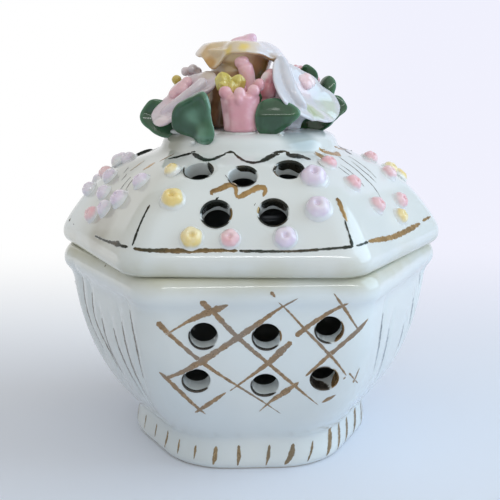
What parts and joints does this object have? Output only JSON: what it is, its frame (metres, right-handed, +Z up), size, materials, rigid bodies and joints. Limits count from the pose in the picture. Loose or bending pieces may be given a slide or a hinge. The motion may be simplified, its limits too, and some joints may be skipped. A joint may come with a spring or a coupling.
{
  "type": "trinket box",
  "caption": "Six-sided pierced porcelain trinket box on a foot ring, with a domed lift-off lid carrying applied flowers, leaves and dots.",
  "frame": {"origin": "centre of the foot ring's resting face, midway between the outermost points of the object", "axes": "+Z up through the lid, -Y out of the pierced front face, corners of the jar on +X and -X"},
  "size_m": [0.0992, 0.091, 0.1045],
  "materials": {
    "white_glaze": "glossy glaze",
    "pink_glaze": "glossy glaze",
    "yellow_glaze": "glossy glaze",
    "lilac_glaze": "glossy glaze",
    "amber_glaze": "glossy glaze",
    "green_glaze": "glossy glaze"
  },
  "bodies": {
    "jar": {"jar": "white_glaze"},
    "lid": {"lid_shell": "white_glaze", "dot_front_lilac_1": "lilac_glaze", "dot_front_lilac_2": "lilac_glaze", "dot_front_lilac_3": "lilac_glaze", "dot_front_pink_1": "pink_glaze", "dot_front_yellow_1": "yellow_glaze", "dot_front_yellow_2": "yellow_glaze", "dot_left_lilac_1": "lilac_glaze", "dot_left_lilac_2": "lilac_glaze", "dot_left_lilac_3": "lilac_glaze", "dot_left_lilac_4": "lilac_glaze", "dot_left_lilac_5": "lilac_glaze", "dot_left_lilac_6": "lilac_glaze", "dot_left_lilac_7": "lilac_glaze", "dot_left_pink_1": "pink_glaze", "dot_left_pink_2": "pink_glaze", "dot_left_yellow_1": "yellow_glaze", "dot_right_pink_1": "pink_glaze", "dot_right_pink_2": "pink_glaze", "dot_right_pink_3": "pink_glaze", "dot_right_pink_4": "pink_glaze", "dot_right_pink_5": "pink_glaze", "dot_right_pink_6": "pink_glaze", "dot_right_yellow_1": "yellow_glaze", "dot_right_yellow_2": "yellow_glaze", "leaf_back": "green_glaze", "leaf_back_left": "green_glaze", "leaf_back_low": "green_glaze", "leaf_back_right": "green_glaze", "leaf_front_left": "green_glaze", "leaf_front_right": "green_glaze", "leaf_left": "green_glaze", "leaf_right": "green_glaze", "left_flower": "lilac_glaze", "left_flower_centre": "pink_glaze", "lilac_buds_back": "lilac_glaze", "pink_bud": "pink_glaze", "pink_buds_back": "pink_glaze", "pink_pistil": "pink_glaze", "pink_tube_flower": "pink_glaze", "right_flower": "lilac_glaze", "right_flower_centre": "pink_glaze", "top_flower": "amber_glaze", "top_flower_centre": "pink_glaze", "yellow_bud_back": "yellow_glaze", "yellow_stamens": "yellow_glaze"}
  },
  "joints": [
    {"name": "lid_lift", "type": "slide", "parent": "jar", "child": "lid", "axis": [0, 0, 1], "range_m": [0, 0.045]}
  ]
}
